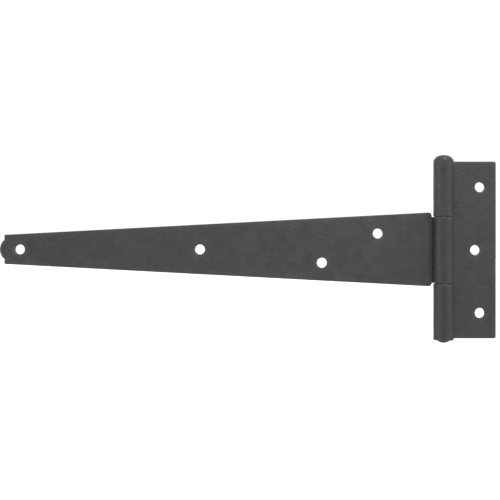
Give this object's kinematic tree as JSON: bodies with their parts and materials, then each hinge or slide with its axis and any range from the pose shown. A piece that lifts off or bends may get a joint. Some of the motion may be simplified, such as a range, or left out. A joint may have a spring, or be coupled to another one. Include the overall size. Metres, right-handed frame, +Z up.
{
  "type": "t hinge",
  "caption": "Surface-mounted tee hinge with a long tapered strap, an upright post plate and a riveted pin, for hanging a gate or shed door.",
  "frame": {"origin": "midway between the post plate's two outer screw holes, on the mounting plane of the leaves", "axes": "+X from the strap's nose towards the post plate, +Y into the post and door, +Z up the pin towards its round head"},
  "size_m": [0.2848, 0.0115, 0.1068],
  "materials": {
    "leaf_coating": "satin black coating over sheet steel",
    "pin_coating": "satin black coating over a steel rivet"
  },
  "bodies": {
    "post_plate": {"post_plate": "leaf_coating", "hinge_pin": "pin_coating"},
    "strap_leaf": {"strap_leaf": "leaf_coating"}
  },
  "joints": [
    {"name": "pin_hinge", "type": "hinge", "parent": "post_plate", "child": "strap_leaf", "pos_m": [-0.0217, -0.00573, 0], "axis": [0, 0, 1], "range_deg": [-90, 180]}
  ]
}
